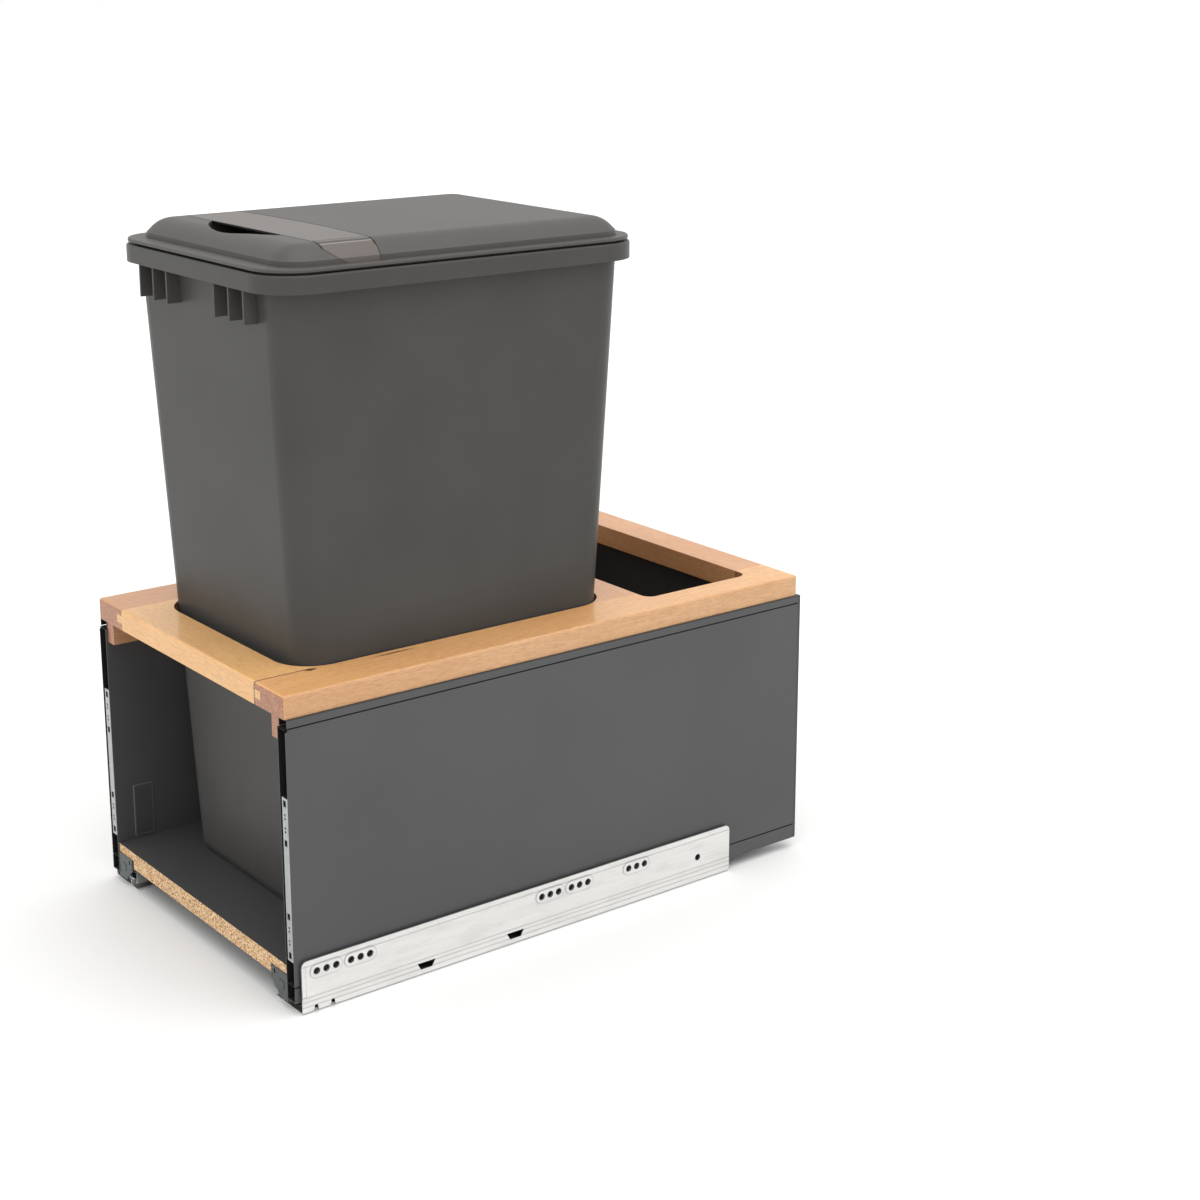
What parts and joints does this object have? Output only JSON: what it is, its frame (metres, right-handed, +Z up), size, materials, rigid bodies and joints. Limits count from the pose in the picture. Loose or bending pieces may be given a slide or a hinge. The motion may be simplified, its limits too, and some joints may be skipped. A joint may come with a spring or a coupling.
{
  "type": "pull-out waste bin unit",
  "caption": "Pull-out waste unit on undermount runners: a steel-sided drawer with a maple top frame that holds a tall tapered bin with a lift-off lid.",
  "frame": {"origin": "middle of the footprint, on the cabinet floor that the runners stand on", "axes": "+X to the right seen from the front, +Y towards the back of the cabinet, +Z up; the drawer opens towards -Y"},
  "size_m": [0.343, 0.547, 0.6115],
  "materials": {
    "grey_powder_coat": "satin powder coat with a fine texture, dark grey",
    "zinc_plated_steel": "zinc plated roll-formed sheet, bright with fine lengthwise lines",
    "zinc_bracket": "zinc plated pressed sheet",
    "bright_steel": "ground bearing steel",
    "screw_zinc": "zinc plated screws",
    "maple": "clear satin lacquer over solid maple",
    "faced_chipboard": "dark grey melamine faces over raw chipboard edges",
    "bin_plastic": "fine moulded texture, warm dark grey",
    "lid_plastic": "fine moulded texture, warm dark grey",
    "handle_plastic": "smooth satin grey, slightly lighter than the lid",
    "black_plastic": "black glass-filled nylon"
  },
  "bodies": {
    "cabinet_runners": {"cabinet_profile_left": "zinc_plated_steel", "cabinet_profile_right": "zinc_plated_steel", "soft_close_damper_left": "black_plastic", "soft_close_damper_right": "black_plastic"},
    "middle_left": {"middle_profile_left": "zinc_plated_steel"},
    "middle_right": {"middle_profile_right": "zinc_plated_steel"},
    "lower_carriage_left": {"lower_cage_left": "black_plastic", "lower_rollers_left": "bright_steel"},
    "lower_carriage_right": {"lower_cage_right": "black_plastic", "lower_rollers_right": "bright_steel"},
    "upper_carriage_left": {"upper_cage_left": "black_plastic", "upper_rollers_left": "bright_steel"},
    "upper_carriage_right": {"upper_cage_right": "black_plastic", "upper_rollers_right": "bright_steel"},
    "drawer": {"side_outer_skin_left": "grey_powder_coat", "side_outer_skin_right": "grey_powder_coat", "side_inner_skin_left": "grey_powder_coat", "side_inner_skin_right": "grey_powder_coat", "side_top_cap_left": "grey_powder_coat", "side_top_cap_right": "grey_powder_coat", "side_bottom_rail_left": "grey_powder_coat", "side_bottom_rail_right": "grey_powder_coat", "side_end_cap_left": "grey_powder_coat", "side_end_cap_right": "grey_powder_coat", "front_fixing_strip_left": "zinc_bracket", "front_fixing_strip_right": "zinc_bracket", "access_cover_left": "grey_powder_coat", "access_cover_right": "grey_powder_coat", "drawer_profile_left": "zinc_plated_steel", "drawer_profile_right": "zinc_plated_steel", "front_bracket_left": "zinc_bracket", "front_bracket_right": "zinc_bracket", "front_coupling_left": "black_plastic", "front_coupling_right": "black_plastic", "rear_bracket_left": "zinc_bracket", "rear_bracket_right": "zinc_bracket", "bottom_board": "faced_chipboard", "back_panel": "faced_chipboard", "back_panel_screws": "screw_zinc", "frame_rail_left": "maple", "frame_rail_right": "maple", "front_board": "maple", "middle_board": "maple", "rear_board": "maple", "hanging_cleat_left": "maple", "hanging_cleat_right": "maple", "cleat_screws": "screw_zinc"},
    "bin": {"bin": "bin_plastic"},
    "lid": {"lid_shell": "lid_plastic", "lid_handle": "handle_plastic"}
  },
  "joints": [
    {"name": "drawer_slide", "type": "slide", "parent": "cabinet_runners", "child": "drawer", "axis": [0, -1, 0], "range_m": [0, 0.45]},
    {"name": "middle_slide_left", "type": "slide", "parent": "cabinet_runners", "child": "middle_left", "axis": [0, -1, 0], "range_m": [0, 0.225]},
    {"name": "lower_carriage_slide_left", "type": "slide", "parent": "cabinet_runners", "child": "lower_carriage_left", "axis": [0, -1, 0], "range_m": [0, 0.1125]},
    {"name": "upper_carriage_slide_left", "type": "slide", "parent": "middle_left", "child": "upper_carriage_left", "axis": [0, -1, 0], "range_m": [0, 0.1125]},
    {"name": "middle_slide_right", "type": "slide", "parent": "cabinet_runners", "child": "middle_right", "axis": [0, -1, 0], "range_m": [0, 0.225]},
    {"name": "lower_carriage_slide_right", "type": "slide", "parent": "cabinet_runners", "child": "lower_carriage_right", "axis": [0, -1, 0], "range_m": [0, 0.1125]},
    {"name": "upper_carriage_slide_right", "type": "slide", "parent": "middle_right", "child": "upper_carriage_right", "axis": [0, -1, 0], "range_m": [0, 0.1125]},
    {"name": "bin_lift", "type": "slide", "parent": "drawer", "child": "bin", "axis": [0, 0, 1], "range_m": [0, 0.26]},
    {"name": "lid_lift", "type": "slide", "parent": "bin", "child": "lid", "axis": [0, 0, 1], "range_m": [0, 0.12]}
  ],
  "couplings": [
    {"joint": "middle_slide_left", "follows": "drawer_slide", "ratio": 0.5},
    {"joint": "lower_carriage_slide_left", "follows": "drawer_slide", "ratio": 0.25},
    {"joint": "upper_carriage_slide_left", "follows": "drawer_slide", "ratio": 0.25},
    {"joint": "middle_slide_right", "follows": "drawer_slide", "ratio": 0.5},
    {"joint": "lower_carriage_slide_right", "follows": "drawer_slide", "ratio": 0.25},
    {"joint": "upper_carriage_slide_right", "follows": "drawer_slide", "ratio": 0.25}
  ]
}
